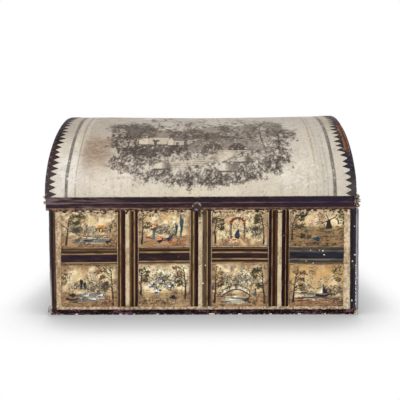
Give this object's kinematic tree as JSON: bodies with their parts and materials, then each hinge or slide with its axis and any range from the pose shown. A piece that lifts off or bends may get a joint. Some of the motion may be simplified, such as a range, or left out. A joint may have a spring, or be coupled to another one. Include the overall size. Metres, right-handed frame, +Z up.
{
  "type": "cardboard trunk",
  "caption": "Trunk-shaped pasteboard keepsake box with a domed lid on a cloth hinge, paper edgings, framed picture papers on the front and a small hook clasp.",
  "frame": {"origin": "centre of the base, on the surface that the box stands on", "axes": "+X to the viewer's right along the front, -Y out of the front, +Z up"},
  "size_m": [0.31, 0.2048, 0.2006],
  "materials": {
    "pasteboard": "raw grey-brown board, rough",
    "ground_paper": "aged cream paper, matt",
    "picture_paper": "hand-coloured printed paper, aged, matt",
    "strip_paper": "dark brown paper with gold lines, slight sheen",
    "dark_paper": "glazed dark purple paper, worn edges",
    "dome_paper": "aged pale grey printed paper, speckled, faint sheen",
    "side_paper": "plain grey-blue cover paper, scuffed",
    "lining_paper": "plain off-white lining paper, foxed",
    "hinge_cloth": "dark glazed linen tape",
    "dark_metal": "darkened tinned iron, dull sheen",
    "brass": "tarnished olive brass"
  },
  "bodies": {
    "body": {"bottom_board": "pasteboard", "front_board": "pasteboard", "back_board": "pasteboard", "left_board": "pasteboard", "right_board": "pasteboard", "base_paper": "side_paper", "front_paper": "ground_paper", "back_paper": "side_paper", "left_side_paper": "side_paper", "right_side_paper": "side_paper", "upper_print_1": "picture_paper", "upper_print_2": "picture_paper", "upper_print_3": "picture_paper", "upper_print_4": "picture_paper", "lower_print_1": "picture_paper", "lower_print_2": "picture_paper", "lower_print_3": "picture_paper", "lower_print_4": "picture_paper", "upright_strip_1": "strip_paper", "upright_strip_2": "strip_paper", "upright_strip_3": "strip_paper", "upright_strip_4": "strip_paper", "upright_strip_5": "strip_paper", "upright_strip_6": "strip_paper", "cross_strip_1": "strip_paper", "cross_strip_2": "strip_paper", "cross_strip_3": "strip_paper", "cross_strip_4": "strip_paper", "corner_edging_front_left": "dark_paper", "corner_edging_front_right": "dark_paper", "corner_edging_back_left": "dark_paper", "corner_edging_back_right": "dark_paper", "bottom_edging": "dark_paper", "floor_lining": "lining_paper", "wall_lining": "lining_paper", "hinge_cloth_body": "hinge_cloth", "catch_stud": "brass"},
    "lid": {"lid_front_board": "pasteboard", "lid_back_board": "pasteboard", "lid_left_end": "pasteboard", "lid_right_end": "pasteboard", "dome_board": "pasteboard", "dome_paper": "dome_paper", "left_end_paper": "side_paper", "right_end_paper": "side_paper", "rim_band": "dark_paper", "sawtooth_band_left": "dark_paper", "sawtooth_band_right": "dark_paper", "lid_lining": "lining_paper", "left_end_lining": "lining_paper", "right_end_lining": "lining_paper", "hinge_cloth_lid": "hinge_cloth", "clasp_rosette": "dark_metal", "clasp_pin": "dark_metal"},
    "hook": {"catch_hook": "brass"}
  },
  "joints": [
    {"name": "lid_hinge", "type": "hinge", "parent": "body", "child": "lid", "pos_m": [0, 0.1008, 0.105], "axis": [-1, 0, 0], "range_deg": [0, 105]},
    {"name": "hook_swing", "type": "hinge", "parent": "lid", "child": "hook", "pos_m": [-0.0061, -0.1022, 0.1083], "axis": [0, -1, 0], "range_deg": [-110, 24]}
  ]
}
